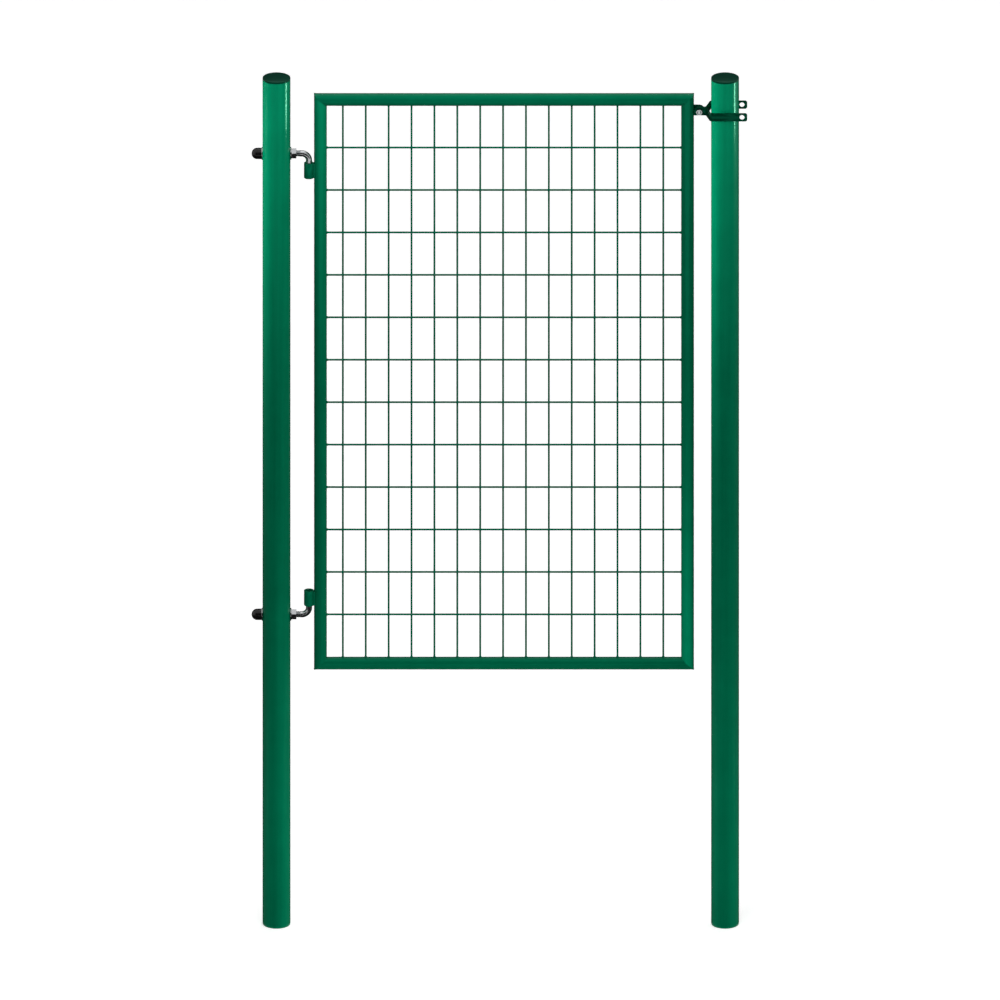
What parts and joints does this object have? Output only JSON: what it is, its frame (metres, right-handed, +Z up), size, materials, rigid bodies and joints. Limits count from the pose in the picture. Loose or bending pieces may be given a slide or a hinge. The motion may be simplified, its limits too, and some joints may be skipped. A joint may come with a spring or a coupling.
{
  "type": "garden gate with posts",
  "caption": "Green coated steel garden gate: a tube-framed welded mesh leaf hung on cranked hinge bolts between two round posts, closed by a drop fork latch.",
  "frame": {"origin": "the middle of the hinge post's foot, on the face that stands in the ground", "axes": "+X towards the latch post, +Y away from the path side, +Z up along the posts"},
  "size_m": [1.083, 0.077, 1.997],
  "materials": {
    "green_coating": "glossy green plastic-coated steel tube and flat bar",
    "green_cap": "dark green moulded plastic",
    "green_wire": "green plastic-coated steel wire, welded",
    "zinc": "bright zinc-plated steel",
    "black_plastic": "black moulded plastic"
  },
  "bodies": {
    "posts": {"hinge_post": "green_coating", "hinge_post_cap": "green_cap", "latch_post": "green_coating", "latch_post_cap": "green_cap", "upper_hinge_bolt": "zinc", "upper_inner_washer": "zinc", "upper_hinge_nut": "zinc", "upper_outer_washer": "zinc", "upper_dome_nut": "black_plastic", "lower_hinge_bolt": "zinc", "lower_inner_washer": "zinc", "lower_hinge_nut": "zinc", "lower_outer_washer": "zinc", "lower_dome_nut": "black_plastic"},
    "leaf": {"hinge_stile": "green_coating", "latch_stile": "green_coating", "top_rail": "green_coating", "bottom_rail": "green_coating", "mesh_panel": "green_wire", "upper_hinge_sleeve": "green_coating", "lower_hinge_sleeve": "green_coating", "latch_lug": "green_coating", "latch_bolt": "zinc", "latch_nut": "zinc"},
    "fork": {"fork_front_strap": "green_coating", "fork_rear_strap": "green_coating"}
  },
  "joints": [
    {"name": "leaf_hinge", "type": "hinge", "parent": "posts", "child": "leaf", "pos_m": [0.071, 0, 1.272], "axis": [0, 0, 1], "range_deg": [-90, 90]},
    {"name": "fork_lift", "type": "hinge", "parent": "leaf", "child": "fork", "pos_m": [0.9235, 0, 1.915], "axis": [0, -1, 0], "range_deg": [0, 90]}
  ]
}
